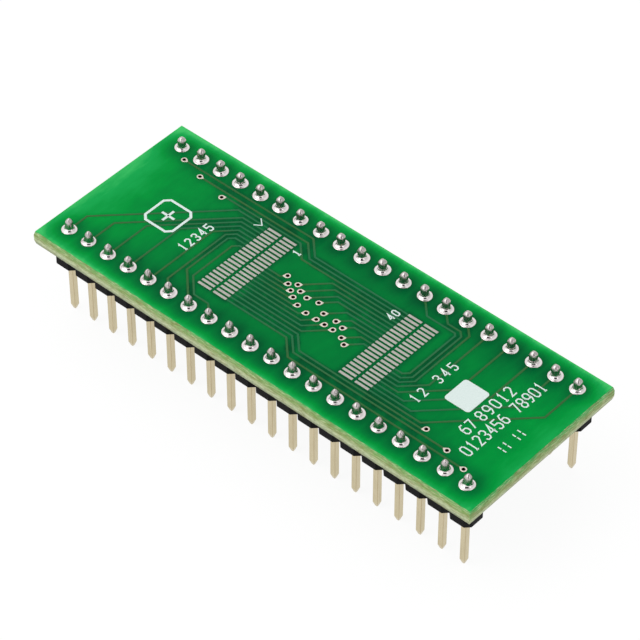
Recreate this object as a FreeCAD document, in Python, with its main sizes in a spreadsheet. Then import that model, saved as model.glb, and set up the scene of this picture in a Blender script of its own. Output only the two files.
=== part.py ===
import FreeCAD, Part
import math
import os
import Sketcher

# A surface mount to dual in line socket adapter, in millimetres.
# X runs along the rows of pins, Y across them, Z up; the origin lies under the
# middle of the board, level with the tips of the pins.

document = FreeCAD.newDocument("socket_adapter")
sheet = document.addObject("Spreadsheet::Sheet", "sizes")

sizes = {
    # pins and the two rows that they stand in
    "pinPitch": 2.54,
    "rowSpacing": 15.24,
    "pinSide": 0.58,
    "tailLength": 6.2,
    "tipLength": 0.5,
    "tipSide": 0.28,
    "postHeight": 1.35,
    "crownLength": 0.45,
    "crownSide": 0.3,
    # breakaway strips of eight-sided cells
    "stripHeight": 2.4,
    "stripWidth": 2.5,
    "cellNotch": 0.49,
    # board with a V-shaped score along every edge
    "endMargin": 2.32,
    "sideMargin": 2.43,
    "boardThickness": 1.57,
    "scoreDepth": 0.45,
    "scoreInset": 0.12,
    "drillRadius": 0.48,
    # copper on both faces
    "copperThickness": 0.035,
    "trackWidth": 0.2,
    "routeGrid": 0.25,
    "cornerCut": 0.5,
    "edgeLane": 1.12,
    "fanMargin": 0.15,
    # the two arrays of lands for the leads of the chip
    "arrayDistance": 8.6,
    "landPitch": 0.5,
    "landLength": 1.6,
    "landWidth": 0.28,
    "landGap": 0.3,
    "landThickness": 0.05,
    # plated holes that join the two faces
    "viaRadius": 0.18,
    "viaWall": 0.045,
    # solder cones round the posts
    "solderRadius": 0.76,
    "shoulderRadius": 0.53,
    "shoulderHeight": 0.25,
    "neckRadius": 0.445,
    "solderHeight": 0.8,
}

for row, (name, value) in enumerate(sizes.items(), start=1):
    sheet.set(f"A{row}", name)
    sheet.set(f"B{row}", str(value))
    sheet.setAlias(f"B{row}", name)
document.recompute()


def size(name):
    return float(sheet.get(name))


# Layout of the copper, in steps of the routing grid. Each side is written as it
# lies when its chip side is on the left and its pin row is nearest; the other
# side is the same thing turned half round.
#
# Outer tracks join a pin to the outer end of a land. "rise" is how far a track
# runs straight from its pin before it turns. "column" is where it climbs and
# "corner" where it meets its row, both counted out from the edge of the array.
# "shelf" is the height of a level run above the pins, and "shelfEnd" its end.
sides = [
    {
        "turn": 1,
        "outer": [
            {"rise": 9.5},
            {"rise": 13.5},
            {"rise": 20.5},
            {"rise": 27.5},
            {"rise": 34.5},
            {"column": 9, "corner": 6},
            {"column": 7, "corner": 5},
            {"column": 3, "corner": 1, "shelf": 5.5, "shelfEnd": -4},
        ],
        "centreVias": [
            (-19, 5), (-16, 2), (-13, 0), (-10, -2), (-6, -4), (-1, -5), (4, -5), (8, -5), (12, -5),
        ],
        "longTurns": [4, 3, 2],
        "edgeVias": [69, 81, 91],
    },
    {
        "turn": -1,
        "outer": [
            {"rise": 18.5},
            {"rise": 20.5},
            {"rise": 23.5},
            {"column": 23, "corner": 8},
            {"rise": 33.5},
            {"column": 9, "corner": 5},
            {"column": 7, "corner": 4, "shelf": 5.5, "shelfEnd": 5},
            {"column": 5, "corner": 3, "shelf": 7.5, "shelfEnd": 4},
        ],
        "centreVias": [
            (-20, 8), (-17, 6), (-14, 2), (-10, 1), (-4, 1), (1, -2), (6, -1), (10, -2), (13, -4),
        ],
        "longTurns": [21, 19, 18],
        "edgeVias": [66, 80, 91],
    },
]
outerCount = len(sides[0]["outer"])
centreCount = len(sides[0]["centreVias"])
longCount = len(sides[0]["edgeVias"])
pinsPerRow = outerCount + centreCount + longCount
firstUndersideLane = 11
undersideLaneSteps = 2
laneShare = 0.4
# small round things have few sides, so that the whole board stays light
roundSides = 10

grid = size("routeGrid")
halfRow = size("rowSpacing") / 2
copper = size("copperThickness")
boardUnderside = size("tailLength") + size("stripHeight") + copper
boardTop = boardUnderside + size("boardThickness")

undersideText = "(sizes.tailLength + sizes.stripHeight + sizes.copperThickness)"
boardTopText = f"({undersideText} + sizes.boardThickness)"
firstPinText = f"(-{(pinsPerRow - 1) / 2} * sizes.pinPitch)"
boardLengthText = f"({pinsPerRow - 1} * sizes.pinPitch + 2 * sizes.endMargin)"
boardWidthText = "(sizes.rowSpacing + 2 * sizes.sideMargin)"


def newBody(label):
    body = document.addObject("PartDesign::Body", label)
    body.Label = label
    body.AllowCompound = True
    return body


def groundPlane(body):
    return next(item for item in body.Origin.OriginFeatures if item.Role == "XY_Plane")


def newSketch(body, name, x="0", y="0", z="0"):
    """A level sketch, moved by three expressions."""
    sketch = body.newObject("Sketcher::SketchObject", name)
    sketch.AttachmentSupport = [(groundPlane(body), "")]
    sketch.MapMode = "FlatFace"
    sketch.setExpression("AttachmentOffset.Base.x", x)
    sketch.setExpression("AttachmentOffset.Base.y", y)
    sketch.setExpression("AttachmentOffset.Base.z", z)
    return sketch


def drawOutline(sketch, corners):
    """A closed outline whose corners lie at pairs of expressions."""
    count = len(corners)
    angles = [2 * math.pi * (index + 0.5) / count - math.pi for index in range(count)]
    points = [FreeCAD.Vector(math.cos(angle), math.sin(angle), 0) for angle in angles]
    for index in range(count):
        line = Part.LineSegment(points[index], points[(index + 1) % count])
        sketch.addGeometry(line, False)
    for index in range(count):
        sketch.addConstraint(Sketcher.Constraint("Coincident", index, 2, (index + 1) % count, 1))
    for index, (x, y) in enumerate(corners):
        for direction, value, text in (
            ("DistanceX", points[index].x, x),
            ("DistanceY", points[index].y, y),
        ):
            number = sketch.addConstraint(Sketcher.Constraint(direction, -1, 1, index, 1, value))
            sketch.setExpression(f"Constraints[{number}]", text)


def drawRectangle(sketch, length, width):
    """A rectangle about the sketch's origin."""
    drawOutline(sketch, [
        (f"-{length} / 2", f"-{width} / 2"),
        (f"{length} / 2", f"-{width} / 2"),
        (f"{length} / 2", f"{width} / 2"),
        (f"-{length} / 2", f"{width} / 2"),
    ])


# corners of a small round thing, in degrees from the X axis
roundAngles = [360 * index / roundSides - 180 for index in range(roundSides)]


def drawRound(sketch, radius):
    """A round outline of a few sides about the sketch's origin."""
    drawOutline(sketch, [(f"{radius} * cos({a} deg)", f"{radius} * sin({a} deg)") for a in roundAngles])


def roundBars(name, radius):
    """Upright bars in every via's place, level with the copper on both faces."""
    bars = []
    for number, (x, y) in enumerate(allVias, start=1):
        bar = document.addObject("Part::Prism", f"{name}_{number}")
        bar.Polygon = roundSides
        bar.setExpression("Circumradius", radius)
        bar.setExpression("Height", "sizes.boardThickness + 2 * sizes.copperThickness")
        bar.Placement.Base = FreeCAD.Vector(x, y, 0)
        bar.setExpression("Placement.Base.z", f"{undersideText} - sizes.copperThickness")
        bars.append(bar)
    group = document.addObject("Part::Compound", name)
    group.Links = bars
    return group


def cutAway(label, base, tool):
    """A piece with the shape of a tool taken out of it."""
    result = document.addObject("Part::Cut", label)
    result.Label = label
    result.Base = base
    result.Tool = tool
    return result


def pad(body, name, sketch, length):
    feature = body.newObject("PartDesign::Pad", name)
    feature.Profile = sketch
    feature.setExpression("Length", length)
    body.Tip = feature
    return feature


def pocketBothWays(body, name, sketch):
    """A hole right through the body, on both sides of the sketch."""
    feature = body.newObject("PartDesign::Pocket", name)
    feature.Profile = sketch
    feature.Type = "ThroughAll"
    feature.Midplane = True
    body.Tip = feature
    return feature


def loft(body, name, sections):
    feature = body.newObject("PartDesign::AdditiveLoft", name)
    feature.Profile = sections[0]
    feature.Sections = sections[1:]
    feature.Ruled = True
    body.Tip = feature
    return feature


def repeatAlong(body, name, originals, sketch, axis, pitch, count):
    """Copies at an even pitch along one axis of a sketch."""
    feature = body.newObject("PartDesign::LinearPattern", name)
    feature.Originals = originals
    feature.Direction = (sketch, [axis])
    feature.setExpression("Length", f"{count - 1} * {pitch}")
    feature.Occurrences = count
    feature.Refine = True
    body.Tip = feature
    return feature


# Places on the board


def pinX(index):
    """X of a pin, counted along its row from the low X end."""
    return (index - (pinsPerRow - 1) / 2) * size("pinPitch")


def landY(index):
    """Y of a row of lands, counted from the first, at high Y."""
    return ((pinsPerRow - 1) / 2 - index) * size("landPitch")


def longLane(index):
    """Y of a long track's level run, between the lands and the pins."""
    first = landY(pinsPerRow - 1) - size("landPitch")
    last = -halfRow + size("edgeLane")
    shares = [0, laneShare, 1]
    return first + shares[index] * (last - first)


def viaPlaces(side):
    """Centres of a side's plated holes, in pin order, before its turn."""
    centre = [(x * grid, y * grid) for x, y in side["centreVias"]]
    levels = [longLane(0) + grid, longLane(1), longLane(2)]
    edge = [(x * grid, y) for x, y in zip(side["edgeVias"], levels)]
    return centre + edge


def turned(point, side):
    return (point[0] * side["turn"], point[1] * side["turn"])


allVias = [turned(place, side) for side in sides for place in viaPlaces(side)]


# The board


def makeBoard(barrels):
    """The board, scored round its edges, drilled for the pins and the barrels."""
    body = newBody("board_blank")
    innerLength = f"({boardLengthText} - 2 * sizes.scoreInset)"
    innerWidth = f"({boardWidthText} - 2 * sizes.scoreInset)"
    levels = [
        ("lower_face", innerLength, innerWidth, undersideText),
        ("lower_web", boardLengthText, boardWidthText, f"{undersideText} + sizes.scoreDepth"),
        ("upper_web", boardLengthText, boardWidthText, f"{boardTopText} - sizes.scoreDepth"),
        ("upper_face", innerLength, innerWidth, boardTopText),
    ]
    outlines = []
    for name, length, width, level in levels:
        sketch = newSketch(body, name, z=level)
        drawRectangle(sketch, length, width)
        outlines.append(sketch)
    loft(body, "lower_score", outlines[:2])
    pad(body, "web", outlines[1], "sizes.boardThickness - 2 * sizes.scoreDepth")
    loft(body, "upper_score", outlines[2:])
    for name, y in (("near", "-sizes.rowSpacing / 2"), ("far", "sizes.rowSpacing / 2")):
        drill = newSketch(body, f"{name}_drill", firstPinText, y, boardTopText)
        drawRound(drill, "sizes.drillRadius")
        hole = pocketBothWays(body, f"{name}_hole", drill)
        repeatAlong(body, f"{name}_holes", [hole], drill, "H_Axis", "sizes.pinPitch", pinsPerRow)
    return cutAway("circuit_board", body, barrels)


# The pins and the strips that hold them


def makePin(number):
    """One square pin, tapered at both ends, numbered round the package."""
    isNear = number <= pinsPerRow
    index = number - 1 if isNear else 2 * pinsPerRow - number
    label = f"pin_{number:02d}"
    shank = document.addObject("Part::Box", f"{label}_shank")
    shank.setExpression("Length", "sizes.pinSide")
    shank.setExpression("Width", "sizes.pinSide")
    straight = f"{boardTopText} + sizes.postHeight - sizes.tipLength - sizes.crownLength"
    shank.setExpression("Height", straight)
    shank.setExpression("Placement.Base.x", "-sizes.pinSide / 2")
    shank.setExpression("Placement.Base.y", "-sizes.pinSide / 2")
    shank.setExpression("Placement.Base.z", "sizes.tipLength")
    ends = [
        ("tip", "sizes.tipSide", "sizes.pinSide", "0", "sizes.tipLength"),
        ("crown", "sizes.pinSide", "sizes.crownSide",
         f"{boardTopText} + sizes.postHeight - sizes.crownLength",
         f"{boardTopText} + sizes.postHeight"),
    ]
    tapers = []
    for name, lowSide, highSide, low, high in ends:
        taper = document.addObject("Part::Wedge", f"{label}_{name}")
        # the wedge narrows along its own Y, so it is turned to stand on end
        taper.Placement.Rotation = FreeCAD.Rotation(FreeCAD.Vector(1, 0, 0), 90)
        taper.setExpression("Ymin", low)
        taper.setExpression("Ymax", high)
        for prefix, side in (("", lowSide), ("2", highSide)):
            for axis in ("X", "Z"):
                taper.setExpression(f"{axis}{prefix}min", f"-{side} / 2")
                taper.setExpression(f"{axis}{prefix}max", f"{side} / 2")
        tapers.append(taper)
    pin = document.addObject("Part::MultiFuse", label)
    pin.Label = label
    pin.Shapes = [shank] + tapers
    pin.Refine = True
    pin.setExpression("Placement.Base.x", f"{index - (pinsPerRow - 1) / 2} * sizes.pinPitch")
    pin.setExpression("Placement.Base.y", f"{'-' if isNear else ''}sizes.rowSpacing / 2")
    return pin


def makeStrip(label, y):
    """A row of eight-sided cells, joined at their necks, with square holes."""
    body = newBody(label)
    cell = newSketch(body, f"{label}_cell", firstPinText, y, "sizes.tailLength")
    across = "sizes.stripWidth / 2"
    along = "sizes.pinPitch / 2"
    shortAcross = f"({across} - sizes.cellNotch)"
    shortAlong = f"({along} - sizes.cellNotch)"
    quarter = [(along, shortAcross), (shortAlong, across)]
    corners = []
    for signX, signY in ((-1, -1), (1, -1), (1, 1), (-1, 1)):
        pair = quarter if signX * signY > 0 else quarter[::-1]
        corners += [(f"{signX} * {x}", f"{signY} * {y2}") for x, y2 in pair]
    drawOutline(cell, corners)
    block = pad(body, f"{label}_block", cell, "sizes.stripHeight")
    hole = newSketch(body, f"{label}_hole", firstPinText, y, "sizes.tailLength")
    drawRectangle(hole, "sizes.pinSide", "sizes.pinSide")
    bore = pocketBothWays(body, f"{label}_bore", hole)
    repeatAlong(body, f"{label}_cells", [block, bore], cell, "H_Axis", "sizes.pinPitch", pinsPerRow)
    return body


def makeSolder(label, y):
    """A cone of solder on the board round each post of one row."""
    body = newBody(label)
    rings = []
    for name, radius, rise in (
        ("foot", "sizes.solderRadius", "0"),
        ("shoulder", "sizes.shoulderRadius", "sizes.shoulderHeight"),
        ("neck", "sizes.neckRadius", "sizes.solderHeight"),
    ):
        ring = newSketch(body, f"{label}_{name}", firstPinText, y, f"{boardTopText} + {rise}")
        drawRound(ring, radius)
        rings.append(ring)
    cone = loft(body, f"{label}_cone", rings)
    square = newSketch(body, f"{label}_square", firstPinText, y, boardTopText)
    drawRectangle(square, "sizes.pinSide", "sizes.pinSide")
    bore = pocketBothWays(body, f"{label}_bore", square)
    repeatAlong(body, f"{label}_cones", [cone, bore], square, "H_Axis", "sizes.pinPitch", pinsPerRow)
    return body


# The copper


def makeLands(label, middle):
    """Two columns of lands, in line row by row, about the middle of one array."""
    body = newBody(label)
    firstRow = f"{-(pinsPerRow - 1) / 2} * sizes.landPitch"
    lands = []
    for column, sign in (("low_x", "-"), ("high_x", "+")):
        x = f"{middle} {sign} (sizes.landLength + sizes.landGap) / 2"
        outline = newSketch(body, f"{label}_{column}_outline", x, firstRow, boardTopText)
        drawRectangle(outline, "sizes.landLength", "sizes.landWidth")
        lands.append(pad(body, f"{label}_{column}", outline, "sizes.landThickness"))
    repeatAlong(body, f"{label}_rows", lands, outline, "V_Axis", "sizes.landPitch", pinsPerRow)
    return body


def ribbon(points, level):
    """A flat track: a line of points given a width, with mitred turns."""
    half = size("trackWidth") / 2
    steps = [(b[0] - a[0], b[1] - a[1]) for a, b in zip(points, points[1:])]
    lengths = [math.hypot(x, y) for x, y in steps]
    normals = [(-y / length, x / length) for (x, y), length in zip(steps, lengths)]
    before = [normals[0]] + normals
    after = normals + [normals[-1]]
    left = []
    right = []
    for (x, y), (ax, ay), (bx, by) in zip(points, before, after):
        scale = half / (1 + ax * bx + ay * by)
        shiftX = (ax + bx) * scale
        shiftY = (ay + by) * scale
        left.append(FreeCAD.Vector(x + shiftX, y + shiftY, level))
        right.append(FreeCAD.Vector(x - shiftX, y - shiftY, level))
    outline = left + right[::-1]
    face = Part.Face(Part.makePolygon(outline + outline[:1]))
    return face.extrude(FreeCAD.Vector(0, 0, copper))


def clearOf(track, centre, radius, level):
    """A track cut back to the edge of a round pad, hole or barrel."""
    middle = FreeCAD.Vector(centre[0], centre[1], level)
    corners = []
    for angle in roundAngles:
        across = FreeCAD.Vector(math.cos(math.radians(angle)), math.sin(math.radians(angle)), 0)
        corners.append(middle + across * radius)
    disc = Part.Face(Part.makePolygon(corners + corners[:1]))
    return track.cut(disc.extrude(FreeCAD.Vector(0, 0, copper)))


def outerRoute(index, plan):
    """From a pin to the outer end of its land, turning by 45 degrees."""
    x, y = pinX(index), -halfRow
    row = landY(index)
    end = -size("arrayDistance") - size("landGap") / 2 - size("landLength")
    edge = end - size("fanMargin")
    if "rise" in plan:
        start = y + plan["rise"] * grid
        return [(x, y), (x, start), (x + row - start, row), (end, row)]
    column = edge - plan["column"] * grid
    corner = edge - plan["corner"] * grid
    climb = [(column, row - (corner - column)), (corner, row), (end, row)]
    if "shelf" in plan:
        shelf = y + plan["shelf"] * grid
        shelfEnd = edge - plan["shelfEnd"] * grid
        level = [(x - (shelf - y), shelf), (shelfEnd, shelf), (column, shelf + shelfEnd - column)]
    else:
        level = [(column, y + abs(x - column))]
    return [(x, y)] + level + climb


def centreRoute(index, via):
    """From the inner end of a land to a plated hole in the middle."""
    row = landY(index)
    start = size("landLength") + size("landGap") / 2 - size("arrayDistance")
    return [(start, row), (via[0] - abs(via[1] - row), row), via]


def longRoute(order, via, turnStep):
    """From the inner end of a land past the other array to its hole."""
    row = landY(pinsPerRow - longCount + order)
    lane = longLane(order)
    start = size("landLength") + size("landGap") / 2 - size("arrayDistance")
    turnX = turnStep * grid
    points = [(start, row), (turnX, row), (turnX + row - lane, lane)]
    if via[1] > lane:
        points.append((via[0] - (via[1] - lane), lane))
    return points + [via]


def topRoutes(side):
    """Every top track of a side: its points, and the round things it meets."""
    vias = viaPlaces(side)
    routes = []
    for index, plan in enumerate(side["outer"]):
        points = outerRoute(index, plan)
        routes.append((points, points[0], size("solderRadius")))
    barrel = size("viaRadius") + size("viaWall")
    for order in range(centreCount):
        routes.append((centreRoute(outerCount + order, vias[order]), vias[order], barrel))
    for order, step in enumerate(side["longTurns"]):
        via = vias[centreCount + order]
        routes.append((longRoute(order, via, step), via, barrel))
    return routes


def undersideRoute(order, via):
    """From a plated hole into its pin: along a lane, or straight and then at 45 degrees."""
    index = outerCount + order
    x, y = pinX(index), -halfRow
    across = x - via[0]
    down = via[1] - y
    if order < centreCount:
        laneStep = firstUndersideLane + undersideLaneSteps * (centreCount - 1 - order)
        lane = -laneStep * grid
        cut = size("cornerCut")
        laneEnd = x - (lane - y)
        if laneEnd - via[0] > 2 * cut:
            return [via, (via[0], lane + cut), (via[0] + cut, lane), (laneEnd, lane), (x, y)]
    if abs(down - across) < size("trackWidth"):
        return [via, (x, y)]
    if down > across:
        return [via, (via[0], y + across), (x, y)]
    return [via, (x - down, via[1]), (x, y)]


def makeTracks(label, solids):
    tracks = document.addObject("Part::Feature", label)
    tracks.Label = label
    tracks.Shape = Part.makeCompound(solids)
    return tracks


def makeTopTracks():
    solids = []
    for side in sides:
        for points, centre, radius in topRoutes(side):
            track = ribbon([turned(point, side) for point in points], boardTop)
            solids.append(clearOf(track, turned(centre, side), radius, boardTop))
    return makeTracks("tracks_top", solids)


def makeUndersideTracks():
    level = boardUnderside - copper
    barrel = size("viaRadius") + size("viaWall")
    solids = []
    for side in sides:
        for order, via in enumerate(viaPlaces(side)):
            points = [turned(point, side) for point in undersideRoute(order, via)]
            track = clearOf(ribbon(points, level), points[0], barrel, level)
            solids.append(clearOf(track, points[-1], size("drillRadius"), level))
    return makeTracks("tracks_underside", solids)


near = "-sizes.rowSpacing / 2"
far = "sizes.rowSpacing / 2"
barrelOutsides = roundBars("barrel_outsides", "sizes.viaRadius + sizes.viaWall")
barrelBores = roundBars("barrel_bores", "sizes.viaRadius")
parts = [
    makeBoard(barrelOutsides),
    makeStrip("header_strip_near", near),
    makeStrip("header_strip_far", far),
    makeSolder("solder_joints_near", near),
    makeSolder("solder_joints_far", far),
    makeLands("chip_lands_left", "-sizes.arrayDistance"),
    makeLands("chip_lands_right", "sizes.arrayDistance"),
    cutAway("via_barrels", barrelOutsides, barrelBores),
    makeTopTracks(),
    makeUndersideTracks(),
]
parts += [makePin(number) for number in range(1, 2 * pinsPerRow + 1)]
document.recompute()

for item in document.Objects:
    if "Invalid" in item.State or "Error" in item.State:
        raise RuntimeError(f"{item.Name} did not build: {item.State}")
for part in parts:
    if part.Shape.isNull() or not part.Shape.isValid():
        raise RuntimeError(f"{part.Label} has no sound shape")

os.makedirs("parts", exist_ok=True)
for part in parts:
    part.Shape.exportStep(f"parts/{part.Label}.step")
    print(part.Label, len(part.Shape.Solids), "solids", round(part.Shape.Volume, 4), "mm3")
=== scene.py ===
import math

import bmesh
import bpy
import numpy as np
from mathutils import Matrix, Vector, bvhtree, geometry, kdtree


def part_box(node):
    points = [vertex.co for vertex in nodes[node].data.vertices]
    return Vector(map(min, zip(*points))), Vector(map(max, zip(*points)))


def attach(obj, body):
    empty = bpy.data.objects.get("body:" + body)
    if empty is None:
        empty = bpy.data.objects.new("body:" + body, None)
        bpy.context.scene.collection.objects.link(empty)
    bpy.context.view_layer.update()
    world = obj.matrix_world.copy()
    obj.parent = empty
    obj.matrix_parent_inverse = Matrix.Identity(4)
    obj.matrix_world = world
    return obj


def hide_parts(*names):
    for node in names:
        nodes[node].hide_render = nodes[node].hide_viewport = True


# Looks of the socket adapter: a green masked board on two rows of gilt pins.
# Lengths in the dictionaries are millimetres; meshes are made in metres.

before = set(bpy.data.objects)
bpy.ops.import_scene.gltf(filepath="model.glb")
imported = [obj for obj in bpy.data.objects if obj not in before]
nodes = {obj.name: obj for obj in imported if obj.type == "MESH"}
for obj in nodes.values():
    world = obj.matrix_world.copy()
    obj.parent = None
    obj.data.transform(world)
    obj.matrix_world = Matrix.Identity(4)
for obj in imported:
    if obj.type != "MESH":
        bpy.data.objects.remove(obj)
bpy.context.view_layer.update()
mm = 0.001
mergeReach = 0.0005
dice = np.random.default_rng(40)


def boxOf(node):
    # lowest and highest corner of a node, in millimetres
    low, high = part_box(node)
    return np.array(low) / mm, np.array(high) / mm


boardLow, boardHigh = boxOf("circuit_board")
boardTop = boardHigh[2]
boardUnderside = boardLow[2]
postTop = boxOf("pin_01")[1][2]
pinNames = sorted(name for name in nodes if name.startswith("pin_"))
pinPlaces = np.array([(np.add(*boxOf(name)) / 2)[:2] for name in pinNames])


# Meshes


def newPiece(name, points, faces, material, smooth=True):
    # a mesh object at the origin, from points in millimetres
    mesh = bpy.data.meshes.new(name)
    mesh.from_pydata((np.asarray(points, dtype=float) * mm).tolist(), [], [list(map(int, f)) for f in faces])
    mesh.polygons.foreach_set("use_smooth", [smooth] * len(mesh.polygons))
    mesh.update()
    mesh.materials.append(material)
    piece = bpy.data.objects.new(name, mesh)
    bpy.context.scene.collection.objects.link(piece)
    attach(piece, "root")
    return piece


def pointValues(mesh, name, values):
    # one number for each vertex, which a material reads by name
    mesh.attributes.new(name, "FLOAT", "POINT").data.foreach_set("value", values.astype(np.float32))


def gridFaces(rows, columns):
    # quads between neighbouring rows of a grid that closes round along each row
    row = np.arange(rows - 1)[:, None] * columns
    column = np.arange(columns)[None, :]
    nextColumn = (column + 1) % columns
    quads = np.stack([row + column, row + nextColumn, row + columns + nextColumn, row + columns + column], -1)
    return quads.reshape(-1, 4).tolist()


def gather(shapes):
    # several (points, faces) shapes as one
    points, faces, count = [], [], 0
    for shapePoints, shapeFaces in shapes:
        points.append(shapePoints)
        faces += [[corner + count for corner in face] for face in shapeFaces]
        count += len(shapePoints)
    return np.concatenate(points), faces


def carried(path, profile, closed=False):
    # a profile of (across, up) pairs carried along a flat path of points, mitred at each turn:
    # point + across * mitre direction / cos(half turn), with up as height
    path = np.asarray(path, dtype=float)
    profile = np.asarray(profile, dtype=float)
    ahead = np.roll(path, -1, axis=0) - path
    ahead /= np.linalg.norm(ahead, axis=1, keepdims=True) + 1e-12
    if not closed:
        ahead[-1] = ahead[-2]
    behind = np.roll(ahead, 1, axis=0)
    if not closed:
        behind[0] = ahead[0]
    sideAhead = np.stack([-ahead[:, 1], ahead[:, 0]], 1)
    sideBehind = np.stack([-behind[:, 1], behind[:, 0]], 1)
    mitre = (sideAhead + sideBehind) / (1 + (sideAhead * sideBehind).sum(1, keepdims=True))
    flat = path[:, None, :] + mitre[:, None, :] * profile[None, :, :1]
    up = np.broadcast_to(profile[None, :, 1:], flat.shape[:2] + (1,))
    points = np.concatenate([flat, up], 2).reshape(-1, 3)
    rows, columns = flat.shape[:2]
    if closed:
        points = np.concatenate([points, points[:columns]])
        return points, gridFaces(rows + 1, columns)
    ends = [list(range(columns))[::-1], list(range((rows - 1) * columns, rows * columns))]
    return points, gridFaces(rows, columns) + ends


def softenedCopy(node, name, material, width, segments):
    # a copy of a node with its doubles merged and its edges of 40 degrees or more rounded by a bevel
    mesh = nodes[node].data.copy()
    mesh.materials.clear()
    shell = bmesh.new()
    shell.from_mesh(mesh)
    bmesh.ops.remove_doubles(shell, verts=shell.verts, dist=mergeReach * mm)
    bmesh.ops.dissolve_limit(shell, angle_limit=math.radians(1), verts=shell.verts, edges=shell.edges)
    shell.to_mesh(mesh)
    shell.free()
    mesh.materials.append(material)
    piece = bpy.data.objects.new(name, mesh)
    bpy.context.scene.collection.objects.link(piece)
    bevel = piece.modifiers.new("rounded edges", "BEVEL")
    bevel.width = width * mm
    bevel.segments = segments
    bevel.limit_method = "ANGLE"
    bevel.angle_limit = math.radians(40)
    bevel.use_clamp_overlap = True
    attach(piece, "root")
    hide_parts(node)
    return piece


# Materials


class Finish:
    # a node material with one shader, and short ways to add and join nodes

    def __init__(self, name, **values):
        self.material = bpy.data.materials.new(name)
        self.material.use_nodes = True
        self.tree = self.material.node_tree
        self.shader = self.tree.nodes["Principled BSDF"]
        for socket, value in values.items():
            self.shader.inputs[socket.replace("_", " ")].default_value = value
        self.place = self.tree.nodes.new("ShaderNodeTexCoord").outputs["Object"]

    def add(self, kind, inputs=None, **settings):
        node = self.tree.nodes.new(kind)
        for key, value in settings.items():
            setattr(node, key, value)
        for key, value in (inputs or {}).items():
            if isinstance(value, bpy.types.NodeSocket):
                self.tree.links.new(value, node.inputs[key])
            else:
                node.inputs[key].default_value = value
        return node

    def set(self, socket, value):
        self.tree.links.new(value, self.shader.inputs[socket])

    def stretched(self, scale):
        return self.add("ShaderNodeMapping", {"Vector": self.place, "Scale": scale}).outputs["Vector"]

    def noise(self, perMillimetre, detail=3.0, stretch=(1, 1, 1)):
        # noise with the given number of grains to the millimetre
        scale = [1000 * perMillimetre * part for part in stretch]
        inputs = {"Vector": self.stretched(scale), "Scale": 1.0, "Detail": detail, "Roughness": 0.5}
        return self.add("ShaderNodeTexNoise", inputs).outputs["Fac"]

    def ramp(self, value, stops):
        # a colour ramp of (place, colour) stops
        node = self.add("ShaderNodeValToRGB", {"Fac": value})
        ramp = node.color_ramp
        while len(ramp.elements) < len(stops):
            ramp.elements.new(0.5)
        for element, (place, colour) in zip(ramp.elements, stops):
            element.position = place
            element.color = colour
        return node.outputs["Color"]

    def spread(self, value, low, high, fromLow=0.0, fromHigh=1.0):
        inputs = {"Value": value, "From Min": fromLow, "From Max": fromHigh, "To Min": low, "To Max": high}
        return self.add("ShaderNodeMapRange", inputs).outputs["Result"]

    def mix(self, share, first, second):
        node = self.add("ShaderNodeMix", data_type="RGBA")
        for socket, value in ((node.inputs[0], share), (node.inputs[6], first), (node.inputs[7], second)):
            if isinstance(value, bpy.types.NodeSocket):
                self.tree.links.new(value, socket)
            else:
                socket.default_value = value
        return node.outputs[2]

    def sum(self, first, second, operation="ADD"):
        return self.add("ShaderNodeMath", {0: first, 1: second}, operation=operation).outputs["Value"]

    def bump(self, height, depth, strength=1.0):
        # bump of a real depth in millimetres
        inputs = {"Height": height, "Distance": depth * mm, "Strength": strength}
        self.set("Normal", self.add("ShaderNodeBump", inputs).outputs["Normal"])

    def height(self, low, high):
        # 0 to 1 between two heights in millimetres
        z = self.add("ShaderNodeSeparateXYZ", {"Vector": self.place}).outputs["Z"]
        return self.spread(z, 0.0, 1.0, low * mm, high * mm)

    def attribute(self, name):
        return self.add("ShaderNodeAttribute", attribute_name=name).outputs["Fac"]


def colour(red, green, blue):
    # an sRGB colour of 0 to 255 as the linear one that a shader takes
    part = np.array([red, green, blue]) / 255
    linear = np.where(part <= 0.04045, part / 12.92, ((part + 0.055) / 1.055) ** 2.4)
    return (*linear.tolist(), 1.0)


maskLook = {
    # colour of the coated laminate against how much light comes back through it: painted glow and painted
    # shade
    "glow": [
        (0.0, colour(0, 70, 36)),
        (0.2, colour(0, 90, 46)),
        (0.5, colour(0, 120, 53)),
        (0.7, colour(0, 146, 58)),
        (0.86, colour(22, 164, 78)),
        (1.0, colour(66, 195, 104)),
    ],
    "roughness": (0.24, 0.38),
}


def maskFinish():
    finish = Finish("solder_mask", Specular_IOR_Level=0.05, Specular_Tint=(0.02, 0.55, 0.2, 1.0))
    cloud = finish.noise(0.22, 2.0)
    cloth = finish.noise(2.4, 2.0, (1.0, 0.25, 1.0))
    grain = finish.noise(9.0, 2.0)
    glow = finish.sum(finish.attribute("glow"), finish.spread(cloud, -0.06, 0.06, 0.3, 0.7))
    glow = finish.sum(glow, finish.spread(cloth, -0.025, 0.025, 0.3, 0.7))
    finish.set("Base Color", finish.ramp(glow, maskLook["glow"]))
    finish.set("Roughness", finish.spread(cloud, *maskLook["roughness"]))
    finish.bump(finish.sum(grain, cloth), 0.004, 0.5)
    return finish.material


def maskedTrackFinish(name, base, crest):
    # browner where a track runs alone, greener in a bundle; in a bundle the flanks are darkened as painted
    # shade between the tracks
    finish = Finish(name, Specular_IOR_Level=0.15)
    wear = finish.noise(1.2, 3.0)
    crowd = finish.attribute("crowd")
    # flank colour: brown from the copper where a track runs alone, painted shade in a bundle
    flankWithShade = finish.mix(crowd, colour(84, 78, 32), colour(22, 74, 40))
    alone = finish.mix(wear, colour(28, 104, 50), colour(60, 98, 48))
    together = finish.mix(wear, colour(16, 104, 64), colour(36, 110, 68))
    level = finish.height(base, crest)
    finish.set("Base Color", finish.mix(level, flankWithShade, finish.mix(crowd, alone, together)))
    finish.set("Roughness", finish.spread(wear, 0.3, 0.45))
    finish.bump(finish.noise(9.0, 2.0), 0.003, 0.5)
    return finish.material


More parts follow.
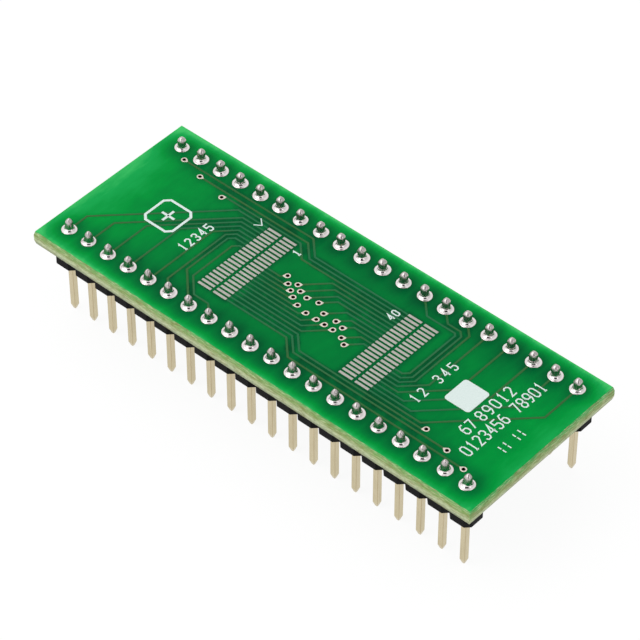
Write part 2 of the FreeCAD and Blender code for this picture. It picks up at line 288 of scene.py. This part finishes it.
def laminateFinish():
    # pressed glass cloth and resin: layers up the edge, broken into streaks along it, with painted shadow at
    # the foot of the edge and a painted highlight line in the pale layers
    finish = Finish("laminate", Roughness=0.55, Specular_IOR_Level=0.3)
    layers = finish.height(boardUnderside, boardTop)
    # the pale layers sit lower on the end face at high X
    side = finish.add("ShaderNodeSeparateXYZ", {"Vector": finish.place}).outputs["X"]
    end = finish.spread(side, 0.0, 0.14, (boardHigh[0] - 0.15) * mm, (boardHigh[0] - 0.05) * mm)
    layers = finish.sum(layers, end)
    # bands up the edge: 0 to 0.2 darkened as painted shadow from the strips under the board, 0.36 a painted
    # highlight line
    bandsWithPaintedLight = finish.ramp(layers, [
        (0.0, colour(118, 128, 100)),
        (0.2, colour(160, 172, 138)),
        (0.36, colour(194, 206, 166)),
        (0.5, colour(176, 192, 142)),
        (0.64, colour(134, 163, 90)),
        (0.85, colour(122, 168, 92)),
        (0.95, colour(112, 178, 100)),
        (1.0, colour(62, 174, 88)),
    ])
    streaks = finish.noise(2.2, 4.0, (0.5, 0.5, 5.0))
    fibres = finish.noise(12.0, 2.0, (0.2, 0.2, 2.0))
    scorch = finish.noise(0.9, 3.0, (1.0, 1.0, 4.0))
    base = finish.mix(finish.spread(streaks, 0.0, 0.75, 0.47, 0.66), bandsWithPaintedLight, colour(208, 214, 168))
    base = finish.mix(finish.spread(scorch, 0.0, 0.6, 0.5, 0.66), base, colour(136, 130, 70))
    base = finish.mix(finish.spread(fibres, 0.0, 0.65, 0.5, 0.68), base, colour(98, 118, 60))
    finish.set("Base Color", base)
    finish.bump(streaks, 0.03, 0.6)
    return finish.material


def solderFinish():
    finish = Finish("bright_solder", Metallic=1.0)
    ripple = finish.noise(1.6, 3.0)
    drawn = finish.noise(5.0, 3.0, (1, 1, 0.3))
    up = finish.height(boardTop + 0.25, boardTop + 0.75)
    foot = finish.mix(ripple, colour(242, 236, 236), colour(214, 206, 206))
    post = finish.mix(drawn, colour(216, 208, 207), colour(158, 150, 149))
    finish.set("Base Color", finish.mix(up, foot, post))
    finish.set("Roughness", finish.sum(finish.spread(drawn, 0.05, 0.14), finish.spread(up, 0.0, 0.18)))
    finish.bump(finish.sum(ripple, drawn), 0.04, 0.5)
    return finish.material


def landFinish():
    # levelled tin, darker down the flanks where the mask meets it: painted shade between the lands
    finish = Finish("tinned_land", Metallic=0.6)
    grain = finish.noise(6.0, 3.0, (0.4, 1, 1))
    crest = finish.mix(grain, colour(196, 193, 186), colour(164, 160, 153))
    up = finish.height(boardTop + 0.02, boxOf("chip_lands_left")[1][2])
    # painted shade low on the flanks, between the lands
    finish.set("Base Color", finish.mix(up, colour(84, 112, 84), crest))
    finish.set("Roughness", finish.spread(grain, 0.35, 0.55))
    finish.bump(grain, 0.01, 0.6)
    return finish.material


def ringFinish():
    finish = Finish("via_ring", Metallic=0.5)
    grain = finish.noise(7.0, 3.0)
    finish.set("Base Color", finish.mix(grain, colour(236, 228, 216), colour(206, 192, 180)))
    finish.set("Roughness", finish.spread(grain, 0.3, 0.5))
    finish.bump(grain, 0.01, 0.5)
    return finish.material


def barrelFinish():
    # copper, darkened to reddish black as painted shade down the narrow hole
    finish = Finish("plated_barrel", Metallic=0.8)
    grain = finish.noise(8.0, 2.0)
    finish.set("Base Color", finish.mix(grain, colour(120, 84, 62), colour(70, 40, 30)))
    finish.set("Roughness", finish.spread(grain, 0.4, 0.6))
    return finish.material


def giltFinish():
    # drawn and plated: fine lines along the pin, with paler clouds over it
    finish = Finish("plated_pin", Metallic=1.0)
    lines = finish.noise(7.0, 3.0, (1, 1, 0.06))
    cloud = finish.noise(0.9, 2.0)
    base = finish.mix(lines, colour(212, 199, 164), colour(182, 170, 138))
    base = finish.mix(finish.spread(cloud, 0.0, 0.35), base, colour(226, 214, 184))
    # painted shade: a darker line along each rounded corner between the pin's two faces
    arrisShade = finish.sum(finish.attribute("arris"), finish.spread(lines, 0.4, 0.9), "MULTIPLY")
    finish.set("Base Color", finish.mix(arrisShade, base, colour(166, 146, 108)))
    finish.set("Roughness", finish.spread(lines, 0.22, 0.38))
    finish.bump(lines, 0.006, 0.5)
    return finish.material


def plasticFinish():
    finish = Finish("black_strip", Specular_IOR_Level=0.06)
    grain = finish.noise(11.0, 3.0)
    cloud = finish.noise(0.8, 2.0)
    base = finish.mix(grain, colour(5, 5, 6), colour(18, 18, 20))
    finish.set("Base Color", finish.mix(finish.spread(cloud, 0.0, 0.4), base, colour(12, 12, 13)))
    finish.set("Roughness", finish.spread(grain, 0.4, 0.62))
    finish.bump(grain, 0.015, 0.6)
    return finish.material


def inkFinish():
    finish = Finish("legend_ink", Specular_IOR_Level=0.25)
    screen = finish.noise(8.0, 3.0)
    finish.set("Base Color", finish.mix(screen, colour(232, 242, 240), colour(204, 222, 216)))
    finish.set("Roughness", finish.spread(screen, 0.5, 0.7))
    finish.bump(screen, 0.006, 0.5)
    return finish.material


mask = maskFinish()
laminate = laminateFinish()
solder = solderFinish()
land = landFinish()
ring = ringFinish()
gilt = giltFinish()
plastic = plasticFinish()
ink = inkFinish()


def dress(node, material):
    mesh = nodes[node].data
    for index in range(max(1, len(mesh.materials))):
        if index < len(mesh.materials):
            mesh.materials[index] = material
        else:
            mesh.materials.append(material)


dress("circuit_board", laminate)
dress("via_barrels", barrelFinish())
print("finishes made")


# The mask: a thin coat on each face, open at the plated holes

coat = {
    "thickness": 0.015, "spacing": 0.25, "scoreWidth": 0.12, "inset": 0.02,
    "holeRadius": 0.215, "holeSides": 16, "holeMargin": 0.06,
}
# painted light that comes back through the mask: a level, then each cause as (amount, reach in millimetres)
glowParts = {
    "level": 0.48, "end": (0.38, 4), "farSide": 0.68, "nearSide": 0.54, "sideReach": 1.0, "endFull": 0.5,
    "pin": (0.42, 1.6), "via": (0.15, 0.6), "land": (0.3, 0.3), "trackReach": 0.25,
    "loneTrack": 0.06, "bundle": 0.26, "crowd": 0.06, "lowEnd": 0.1,
}


def islandCentres(node):
    # the middle of each separate solid of a node, seen from above
    shell = bmesh.new()
    shell.from_mesh(nodes[node].data)
    bmesh.ops.remove_doubles(shell, verts=shell.verts, dist=mergeReach * mm)
    left = set(shell.verts)
    centres = []
    while left:
        group = set()
        front = [left.pop()]
        while front:
            vertex = front.pop()
            group.add(vertex)
            for edge in vertex.link_edges:
                other = edge.other_vert(vertex)
                if other in left:
                    left.discard(other)
                    front.append(other)
        places = np.array([vertex.co[:2] for vertex in group]) / mm
        centres.append((places.min(0) + places.max(0)) / 2)
    shell.free()
    return np.array(centres)


viaPlaces = islandCentres("via_barrels")


def distanceToNode(node, points):
    # how far each point, in millimetres, lies from the surface of a node
    mesh = nodes[node].data
    mesh.calc_loop_triangles()
    corners = [vertex.co for vertex in mesh.vertices]
    triangles = [tuple(t.vertices) for t in mesh.loop_triangles]
    tree = bvhtree.BVHTree.FromPolygons(corners, triangles)
    return np.array([tree.find_nearest(Vector(point * mm))[3] for point in points]) / mm


def crowding(node, points, reach=0.7, perSquare=60):
    # share of the disc round each point that a flat node covers, from points strewn on its faces
    mesh = nodes[node].data
    mesh.calc_loop_triangles()
    corners = np.array([vertex.co[:2] for vertex in mesh.vertices]) / mm
    triangles = np.array([tuple(t.vertices) for t in mesh.loop_triangles if t.normal[2] > 0.9])
    first, second, third = (corners[triangles[:, k]] for k in range(3))
    across, along = second - first, third - first
    area = np.abs(across[:, 0] * along[:, 1] - across[:, 1] * along[:, 0]) / 2
    picked = dice.choice(len(area), int(area.sum() * perSquare), p=area / area.sum())
    share = dice.random((2, len(picked), 1))
    share = np.where(share.sum(0) > 1, 1 - share, share)
    strewn = first[picked] + share[0] * across[picked] + share[1] * along[picked]
    tree = kdtree.KDTree(len(strewn))
    for index, place in enumerate(strewn):
        tree.insert((*place, 0), index)
    tree.balance()
    counts = np.array([len(tree.find_range((x, y, 0), reach)) for x, y in points[:, :2]])
    return counts / (perSquare * math.pi * reach ** 2)


def bundled(node, points):
    # 0 by a lone track, 1 in a bundle
    return np.clip((crowding(node, points) - 0.2) / 0.18, 0, 1)


def nearest(points, places):
    return np.sqrt(((points[:, None, :2] - places[None]) ** 2).sum(2)).min(1)


def shade(distance, cause):
    # amount * e ^ -(distance / reach) ^ 2
    amount, reach = glowParts[cause]
    return amount * np.exp(-((distance / reach) ** 2))


def glowAt(points, tracks, direction):
    toTrack = distanceToNode(tracks, points)
    toEnd = boardHigh[0] - np.abs(points[:, 0])
    toSide = boardHigh[1] - np.abs(points[:, 1])
    # painted glow from light that enters at the board's edges: most at the ends, more on the far side than
    # the near one
    endAmount, endReach = glowParts["end"]
    end = endAmount * np.exp(-toEnd / endReach)
    sideAmount = np.where(points[:, 1] > 0, glowParts["farSide"], glowParts["nearSide"])
    side = sideAmount * np.exp(-toSide / glowParts["sideReach"])
    glow = glowParts["level"] + end + side * (1 - end / glowParts["endFull"])
    # painted shade: less beside metal, and less in a bundle of tracks than by a lone one
    glow -= shade(nearest(points, pinPlaces), "pin") + shade(nearest(points, viaPlaces), "via")
    crowd = bundled(tracks, points)
    beside = np.exp(-((toTrack / glowParts["trackReach"]) ** 2))
    glow -= (glowParts["loneTrack"] + glowParts["bundle"] * crowd) * beside + glowParts["crowd"] * crowd
    if direction > 0:
        lands = [distanceToNode(node, points) for node in ("chip_lands_left", "chip_lands_right")]
        glow -= shade(np.minimum(*lands), "land")
    # painted glow, brighter towards low X
    glow += glowParts["lowEnd"] * np.clip(-points[:, 0] / boardHigh[0], 0, 1) ** 2
    return np.clip(glow, 0, 1)


def makeMask(name, level, direction, tracks):
    low = boardLow[:2] + coat["scoreWidth"] + coat["inset"]
    high = boardHigh[:2] - coat["scoreWidth"] - coat["inset"]
    counts = np.ceil((high - low) / coat["spacing"]).astype(int) + 1
    xs = np.linspace(low[0], high[0], counts[0])
    ys = np.linspace(low[1], high[1], counts[1])
    flat = np.stack(np.meshgrid(xs, ys, indexing="ij"), -1).reshape(-1, 2)
    flat = flat[nearest(flat, viaPlaces) > coat["holeRadius"] + coat["holeMargin"]]
    angles = np.linspace(0, 2 * np.pi, coat["holeSides"], endpoint=False)
    circle = np.stack([np.cos(angles), np.sin(angles)], 1) * coat["holeRadius"]
    rings = (viaPlaces[:, None] + circle[None]).reshape(-1, 2)
    step = np.arange(coat["holeSides"])
    loops = [np.stack([step, (step + 1) % coat["holeSides"]], 1) + len(flat) + k * coat["holeSides"]
             for k in range(len(viaPlaces))]
    given = [Vector(p) for p in np.concatenate([flat, rings])]
    edges = np.concatenate(loops).tolist()
    places, _, faces, _, _, _ = geometry.delaunay_2d_cdt(given, edges, [], 0, 1e-6)
    places = np.array([tuple(p) for p in places])
    faces = np.array([f for f in faces if len(f) == 3])
    keep = nearest(places[faces].mean(1), viaPlaces) > coat["holeRadius"] * 0.98
    faces = faces[keep]
    if direction < 0:
        faces = faces[:, ::-1]
    points = np.column_stack([places, np.full(len(places), level + direction * coat["thickness"])])
    piece = newPiece(name, points, faces.tolist(), mask, smooth=False)
    pointValues(piece.data, "glow", glowAt(points, tracks, direction))
    shell = piece.modifiers.new("coat", "SOLIDIFY")
    shell.thickness = coat["thickness"] * mm
    shell.offset = -1
    return piece


makeMask("mask_top", boardTop, 1, "tracks_top")
makeMask("mask_underside", boardUnderside, -1, "tracks_underside")
print("mask laid on both faces")


# Tracks under the mask: the copper with rounded edges, in the colour of masked copper, with painted shade on
# their flanks in a bundle

copperHeight = boxOf("tracks_top")[1][2] - boardTop
landPlaces = np.concatenate([islandCentres("chip_lands_left"), islandCentres("chip_lands_right")])
topTrack = maskedTrackFinish("masked_track_top", boardTop + 0.6 * copperHeight, boardTop + copperHeight)
lowTrack = maskedTrackFinish(
    "masked_track_underside", boardUnderside - 0.6 * copperHeight, boardUnderside - copperHeight)
for node, finish in (("tracks_top", topTrack), ("tracks_underside", lowTrack)):
    ridges = softenedCopy(node, node.replace("tracks", "track_ridges"), finish, 0.02, 2).data
    places = np.array([vertex.co for vertex in ridges.vertices]) / mm
    crowd = bundled(node, places)
    if finish is topTrack:
        # the tracks' ends by the lands belong to a bundle too
        crowd = np.maximum(crowd, nearest(places, landPlaces) < 1.5)
    pointValues(ridges, "crowd", crowd)
softenedCopy("chip_lands_left", "lands_left", land, 0.04, 3)
softenedCopy("chip_lands_right", "lands_right", land, 0.04, 3)
print("tracks and lands rounded")


# Rings round the plated holes: a circle drawn out to a point towards its track

eyelet = {"inner": 0.185, "outer": 0.315, "point": 0.5, "height": 0.045, "sides": 28}


def trackDirections(node, places, reach=0.32):
    # from each hole towards the end of the track that meets it
    corners = np.array([vertex.co[:2] for vertex in nodes[node].data.vertices]) / mm
    ways = []
    for place in places:
        close = corners[np.hypot(*(corners - place).T) < reach]
        way = close.mean(0) - place if len(close) else np.array([1.0, 0.0])
        ways.append(math.atan2(way[1], way[0]))
    return ways


def makeEyelets(name, level, direction, tracks):
    # radius round the hole: outer / cos(tangent angle - angle) near the point, outer elsewhere
    tangent = math.acos(eyelet["outer"] / eyelet["point"])
    angles = np.linspace(-np.pi, np.pi, eyelet["sides"], endpoint=False)
    off = np.abs(angles)
    edge = np.where(off < tangent, eyelet["outer"] / np.cos(tangent - off), eyelet["outer"])
    share = np.array([0, 0, 0.25, 0.75, 1, 1])
    rise = np.array([-0.02, 0.8, 1, 1, 0.7, 0]) * eyelet["height"] * direction
    radii = eyelet["inner"] + share[:, None] * (edge[None, :] - eyelet["inner"])
    shapes = []
    for place, way in zip(viaPlaces, trackDirections(tracks, viaPlaces)):
        turn = angles[None, :] + way
        x = place[0] + radii * np.cos(turn)
        y = place[1] + radii * np.sin(turn)
        z = np.broadcast_to(level + rise[:, None], x.shape)
        points = np.stack([x, y, z], -1)
        points = np.concatenate([points, points[:1]]).reshape(-1, 3)
        faces = gridFaces(len(share) + 1, len(angles))
        if direction > 0:
            faces = [face[::-1] for face in faces]
        shapes.append((points, faces))
    points, faces = gather(shapes)
    weld(newPiece(name, points, faces, ring))


def weld(piece):
    shell = bmesh.new()
    shell.from_mesh(piece.data)
    bmesh.ops.remove_doubles(shell, verts=shell.verts, dist=0.0002 * mm)
    bmesh.ops.recalc_face_normals(shell, faces=shell.faces)
    shell.to_mesh(piece.data)
    shell.free()


makeEyelets("via_rings_top", boardTop, 1, "tracks_top")
makeEyelets("via_rings_underside", boardUnderside, -1, "tracks_underside")
print("rings made")


# Solder: a hollow cone that climbs each post and coats it to a blunt point

joint = {"foot": 0.77, "rim": 0.05, "fillet": 0.3, "sides": 32, "unevenness": 0.05}
# near row: tapered and pointed; far row: a round head on a narrower neck
posts = {
    "near": {"neck": 0.42, "post": 0.385, "shoulder": 0.86, "pointed": 1.35},
    "far": {"neck": 0.39, "post": 0.43, "shoulder": 0.88, "pointed": 1.9},
}


def solderOutline(foot, post, neck, fillet, top, shoulder, pointed):
    # radius and height up the side: a quarter circle round the rim, a flat dish, a quarter circle that
    # turns up into the neck, then a crown whose radius falls as (1 - share ^ pointed) ^ 0.6
    rim = joint["rim"]
    turn = np.linspace(0, np.pi / 2, 9)
    share = 1 - (1 - np.linspace(0, 0.997, 14)) ** 1.6
    radius = np.concatenate([
        foot - rim * (1 - np.cos(turn[::3])),
        neck + fillet * (1 - np.sin(turn)),
        post * (1 - share ** pointed) ** 0.6,
    ])
    height = np.concatenate([
        rim * np.sin(turn[::3]),
        rim + fillet * (1 - np.cos(turn)),
        shoulder + (top - shoulder) * share,
    ])
    return radius[:, None], height[:, None]


def solderShape(place, top, kind):
    uneven = joint["unevenness"]
    foot = joint["foot"] * (1 + dice.normal(0, uneven * 0.4))
    swell = 1 + dice.normal(0, uneven * 0.3)
    fillet = joint["fillet"] * (1 + dice.normal(0, uneven))
    shoulder = kind["shoulder"] * (1 + dice.normal(0, uneven))
    pointed = kind["pointed"] + dice.normal(0, 0.15)
    post, neck = kind["post"] * swell, kind["neck"] * swell
    radius, height = solderOutline(foot, post, neck, fillet, top, shoulder, pointed)
    below = np.clip(1 - height / (joint["rim"] + fillet), 0, 1)
    offset = dice.normal(0, 0.025, 2) * below
    lean = dice.normal(0, 0.015, 2) * height
    angles = np.linspace(0, 2 * np.pi, joint["sides"], endpoint=False)
    # a rounded square of the third power round the post, round and a little uneven at the foot
    square = (np.abs(np.cos(angles)) ** 3 + np.abs(np.sin(angles)) ** 3) ** (-1 / 3) / 2 ** (1 / 6)
    phases = dice.uniform(0, 2 * np.pi, 2)
    wobble = 1 + 0.02 * np.sin(2 * angles + phases[0]) + 0.015 * np.sin(3 * angles + phases[1])
    squareness = np.clip((height - joint["rim"] - fillet) / 0.25 + 0.5, 0, 1)
    mixed = wobble * (1 - squareness) + square * squareness
    x = place[0] + offset[:, :1] + lean[:, :1] + radius * np.cos(angles) * mixed
    y = place[1] + offset[:, 1:] + lean[:, 1:] + radius * np.sin(angles) * mixed
    z = np.broadcast_to(boardTop + height, x.shape)
    points = np.stack([x, y, z], -1).reshape(-1, 3)
    last = (len(height) - 1) * joint["sides"]
    faces = gridFaces(len(height), joint["sides"])
    faces.append(list(range(joint["sides"]))[::-1])
    faces.append(list(range(last, last + joint["sides"])))
    return points, faces


def makeSolder(name, node, places, kind):
    points, faces = gather([solderShape(place, postTop - boardTop, kind) for place in places])
    piece = newPiece(name, points, faces, solder)
    weld(piece)
    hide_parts(node)


makeSolder("solder_near", "solder_joints_near", pinPlaces[pinPlaces[:, 1] < 0], posts["near"])
makeSolder("solder_far", "solder_joints_far", pinPlaces[pinPlaces[:, 1] > 0], posts["far"])
print("solder made")


# Pins: a square bar with rounded corners, tapered to a blunt tip

bar = {"side": 0.58, "corner": 0.045, "tipLength": 0.5, "tipSide": 0.28, "buried": 0.6}


def makePin(name, place):
    # a rounded square whose half side follows height: tip, taper, then the even shank
    half = bar["side"] / 2
    tipHalf = bar["tipSide"] / 2
    heights = np.array([0.0, 0.03, bar["tipLength"], bar["tipLength"] + 0.08, postTop - bar["buried"]])
    halves = np.array([tipHalf - 0.03, tipHalf, half - 0.005, half, half])
    quarter = np.linspace(0, np.pi / 2, 4)
    turns = np.concatenate([quarter + k * np.pi / 2 for k in range(4)])
    centres = np.repeat(np.array([[1, 1], [-1, 1], [-1, -1], [1, -1]]), 4, axis=0)
    corner = np.minimum(bar["corner"], halves * 0.4)[:, None, None]
    out = np.stack([np.cos(turns), np.sin(turns)], 1)[None]
    flat = centres[None] * (halves[:, None, None] - corner) + out * corner
    flat = flat + np.asarray(place)[None, None]
    up = np.broadcast_to(heights[:, None, None], flat.shape[:2] + (1,))
    points = np.concatenate([flat, up], 2).reshape(-1, 3)
    count = len(turns)
    faces = gridFaces(len(heights), count)
    faces.append(list(range(count))[::-1])
    faces.append(list(range((len(heights) - 1) * count, len(heights) * count)))
    piece = newPiece(name.replace("pin", "contact"), points, faces, gilt, smooth=False)
    # 1 on the two middle points of each rounded corner, 0 on the flats
    arris = np.tile([0.0, 1.0, 1.0, 0.0], 4 * len(heights))
    pointValues(piece.data, "arris", arris)
    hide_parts(name)


for pinName, pinPlace in zip(pinNames, pinPlaces):
    makePin(pinName, pinPlace)
softenedCopy("header_strip_near", "strip_near", plastic, 0.05, 2)
softenedCopy("header_strip_far", "strip_far", plastic, 0.05, 2)
print("pins and strips made")


# Printed marks: plain numbers, an arrow at pin one, a plain panel and a frame with a cross

marks = {"lift": 0.047, "stroke": 0.135}
strokes = {
    "0": [[(0, 1), (0, 5), (1, 6), (3, 6), (4, 5), (4, 1), (3, 0), (1, 0), (0, 1)]],
    "1": [[(1, 5), (2, 6), (2, 0)], [(1, 0), (3, 0)]],
    "2": [[(0, 5), (1, 6), (3, 6), (4, 5), (4, 4), (0, 0), (4, 0)]],
    "3": [[(0, 5), (1, 6), (3, 6), (4, 5), (4, 4), (3, 3), (1.5, 3)],
          [(3, 3), (4, 2), (4, 1), (3, 0), (1, 0), (0, 1)]],
    "4": [[(3, 0), (3, 6), (0, 2), (4, 2)]],
    "5": [[(4, 6), (0, 6), (0, 3.5), (3, 3.5), (4, 2.5), (4, 1), (3, 0), (1, 0), (0, 1)]],
    "6": [[(3.5, 6), (1.5, 6), (0, 4), (0, 1), (1, 0), (3, 0), (4, 1), (4, 2.5), (3, 3.5), (1, 3.5),
           (0, 2.5)]],
    "7": [[(0, 6), (4, 6), (1.5, 0)]],
    "8": [[(1, 3), (0, 4), (0, 5), (1, 6), (3, 6), (4, 5), (4, 4), (3, 3), (1, 3), (0, 2), (0, 1), (1, 0),
           (3, 0), (4, 1), (4, 2), (3, 3)]],
    "9": [[(0.5, 0), (2.5, 0), (4, 2), (4, 5), (3, 6), (1, 6), (0, 5), (0, 3.5), (1, 2.5), (3, 2.5),
           (4, 3.5)]],
}


def inkLine(path, width, closed=False):
    # a flat ribbon of ink with a low domed section
    half = width / 2
    crest = marks["lift"]
    brow = crest - 0.008
    profile = [(half, 0), (half, brow), (half * 0.7, crest), (-half * 0.7, crest), (-half, brow), (-half, 0)]
    points, faces = carried(path, profile, closed)
    points[:, 2] += boardTop + 0.001
    return points, faces


def number(text, start, tall, pitch, width=marks["stroke"], slim=0.75):
    # digits read along Y, with their tops towards low X
    shapes = []
    for index, sign in enumerate(text):
        for line in strokes.get(sign, []):
            line = np.array(line, dtype=float) / 6 * tall
            x = start[0] - line[:, 1]
            y = start[1] + index * pitch + line[:, 0] * slim
            shapes.append(inkLine(np.stack([x, y], 1), width))
    return shapes


def panel(low, high, corner):
    # a solid plate of ink with round corners: quarter circles joined by straight sides
    turn = np.linspace(0, 2 * np.pi, 24, endpoint=False) + np.pi / 24
    out = np.stack([np.cos(turn), np.sin(turn)], 1)
    middle = (np.array(low) + high) / 2
    half = (np.array(high) - low) / 2
    outline = middle + np.sign(out) * (half - corner) + out * corner
    shrunk = middle + np.sign(out) * (half - corner) + out * (corner - 0.03)
    rows = [(outline, 0.001), (outline, marks["lift"] - 0.007), (shrunk, marks["lift"] + 0.001)]
    points = np.concatenate([np.column_stack([row, np.full(len(row), boardTop + up)]) for row, up in rows])
    count = len(turn)
    caps = [list(range(count))[::-1], list(range(2 * count, 3 * count))]
    return [(points, gridFaces(len(rows), count) + caps)]


def frameMark(centre, half, cut, width):
    # a square frame with its corners cut off, and a cross in its middle
    quarter = np.array([(half, half - cut), (half - cut, half)])
    turns = [np.array([[1, 0], [0, 1]]), np.array([[0, -1], [1, 0]])]
    turns += [-turns[0], -turns[1]]
    outline = np.concatenate([quarter @ turn.T for turn in turns])
    shapes = [inkLine(np.asarray(centre) + outline, width, True)]
    for way in ((1, 0), (0, 1)):
        way = np.array(way) * half * 0.45
        shapes.append(inkLine([np.asarray(centre) - way, np.asarray(centre) + way], width))
    return shapes


legend = [inkLine([(-11.75, 5.3), (-11.05, 4.67), (-11.7, 4.2)], 0.11)]
legend += number("1", (-5.75, 3.72), 0.75, 0.9, 0.14, slim=1.3)
legend += number("40", (6.25, 3.25), 0.8, 0.7)
legend += number("12 345", (14.6, -3.1), 1.0, 1.05, 0.13)
legend += panel((15.9, -1.1), (18.8, 2.0), 0.35)
legend += number("67", (20.4, -3.1), 1.15, 0.85)
legend += number("89012", (20.4, -0.9), 1.15, 1.0)
legend += number("0123456 78901", (22.15, -5.0), 1.2, 0.86, slim=0.68)
legend += number("12345", (-14.1, -2.6), 0.95, 0.88, 0.15)
legend += frameMark((-18.5, -0.2), 1.75, 0.5, 0.26)
for y in (-2.5, -1.8, -0.5, 0.2):
    for x in (23.3, 23.85):
        legend.append(inkLine([(x, y), (x + 0.4, y)], 0.12))
legendPoints, legendFaces = gather(legend)
weld(newPiece("legend", legendPoints, legendFaces, ink, smooth=False))
print("marks printed")


# Stage: a pale floor, a white surround and soft lamps

stageSize = 1.6
floorFinish = bpy.data.materials.new("floor")
floorFinish.use_nodes = True
floorTree = floorFinish.node_tree
floorShader = floorTree.nodes["Principled BSDF"]
floorShader.inputs["Base Color"].default_value = (0.86, 0.86, 0.86, 1)
floorShader.inputs["Roughness"].default_value = 0.9
floorGlow = floorTree.nodes.new("ShaderNodeEmission")
floorGlow.inputs["Strength"].default_value = 1.03
floorRays = floorTree.nodes.new("ShaderNodeLightPath")
floorShare = floorTree.nodes.new("ShaderNodeMath")
floorShare.operation = "MULTIPLY"
floorShare.inputs[1].default_value = 0.9
floorMix = floorTree.nodes.new("ShaderNodeMixShader")
floorSeen = floorTree.nodes.new("ShaderNodeMath")
floorSeen.operation = "MAXIMUM"
floorTree.links.new(floorRays.outputs["Is Camera Ray"], floorSeen.inputs[0])
floorTree.links.new(floorRays.outputs["Is Glossy Ray"], floorSeen.inputs[1])
floorTree.links.new(floorSeen.outputs["Value"], floorShare.inputs[0])
floorTree.links.new(floorShare.outputs["Value"], floorMix.inputs["Fac"])
floorTree.links.new(floorShader.outputs["BSDF"], floorMix.inputs[1])
floorTree.links.new(floorGlow.outputs["Emission"], floorMix.inputs[2])
floorTree.links.new(floorMix.outputs["Shader"], floorTree.nodes["Material Output"].inputs["Surface"])
floorMesh = bpy.data.meshes.new("floor")
corners = [(-1, -1), (1, -1), (1, 1), (-1, 1)]
floorMesh.from_pydata([(x * stageSize, y * stageSize, -0.00002) for x, y in corners], [], [(0, 1, 2, 3)])
floorMesh.materials.append(floorFinish)
floor = bpy.data.objects.new("floor", floorMesh)
bpy.context.scene.collection.objects.link(floor)

world = bpy.data.worlds.new("surround")
bpy.context.scene.world = world
world.use_nodes = True
worldTree = world.node_tree
surround = worldTree.nodes["Background"]
surround.inputs["Color"].default_value = (1, 1, 1, 1)
plain = worldTree.nodes.new("ShaderNodeBackground")
plain.inputs["Color"].default_value = (1, 1, 1, 1)
plain.inputs["Strength"].default_value = 1.0
worldRays = worldTree.nodes.new("ShaderNodeLightPath")
worldMix = worldTree.nodes.new("ShaderNodeMixShader")
way = worldTree.nodes.new("ShaderNodeTexCoord")


def towards(direction, fromShare, toShare, low, high):
    # a strength that runs from low to high as a direction nears the given one
    facing = worldTree.nodes.new("ShaderNodeVectorMath")
    facing.operation = "DOT_PRODUCT"
    facing.inputs[1].default_value = Vector(direction).normalized()
    part = worldTree.nodes.new("ShaderNodeMapRange")
    for socket, value in (("From Min", fromShare), ("From Max", toShare), ("To Min", low), ("To Max", high)):
        part.inputs[socket].default_value = value
    worldTree.links.new(way.outputs["Generated"], facing.inputs[0])
    worldTree.links.new(facing.outputs["Value"], part.inputs["Value"])
    return part.outputs["Result"]


# a white tent, dimmer at the back on the right, with a dark opening at the front
tent = worldTree.nodes.new("ShaderNodeMath")
tent.operation = "MULTIPLY"
worldTree.links.new(towards((0.8, 0.55, 0.1), 0.1, 0.8, 1.04, 0.74), tent.inputs[0])
worldTree.links.new(towards((0.47, -0.53, 0.71), 0.82, 0.90, 1.0, 0.06), tent.inputs[1])
worldTree.links.new(tent.outputs["Value"], surround.inputs["Strength"])
worldTree.links.new(worldRays.outputs["Is Camera Ray"], worldMix.inputs["Fac"])
worldTree.links.new(surround.outputs["Background"], worldMix.inputs[1])
worldTree.links.new(plain.outputs["Background"], worldMix.inputs[2])
worldTree.links.new(worldMix.outputs["Shader"], worldTree.nodes["World Output"].inputs["Surface"])


def softLamp(name, place, aim, width, power):
    lamp = bpy.data.lights.new(name, "AREA")
    lamp.size = width
    lamp.energy = power
    holder = bpy.data.objects.new(name, lamp)
    holder.location = place
    holder.rotation_euler = (Vector(aim) - Vector(place)).to_track_quat("-Z", "Y").to_euler()
    bpy.context.scene.collection.objects.link(holder)


softLamp("lamp_front", (-0.12, -0.36, 0.28), (0, 0, 0.01), 0.30, 0.35)
softLamp("lamp_right", (0.38, 0.00, 0.22), (0, 0, 0.01), 0.22, 0.16)
softLamp("lamp_over", (-0.22, -0.14, 0.40), (0, 0, 0.01), 0.30, 0.35)

shot = {"place": (139.19, -156.15, 217.08), "elevation": 44.908, "azimuth": 41.644, "focus": 3234.85}
camera = bpy.data.cameras.new("camera")
camera.sensor_fit = "HORIZONTAL"
camera.sensor_width = 36.0
camera.lens = shot["focus"] / 640 * camera.sensor_width
camera.clip_start = 0.01
camera.clip_end = 10
view = bpy.data.objects.new("camera", camera)
view.location = [part * mm for part in shot["place"]]
view.rotation_euler = (math.radians(90 - shot["elevation"]), 0, math.radians(shot["azimuth"]))
bpy.context.scene.collection.objects.link(view)
bpy.context.scene.camera = view
bpy.context.scene.view_settings.view_transform = "Standard"
print("stage set")
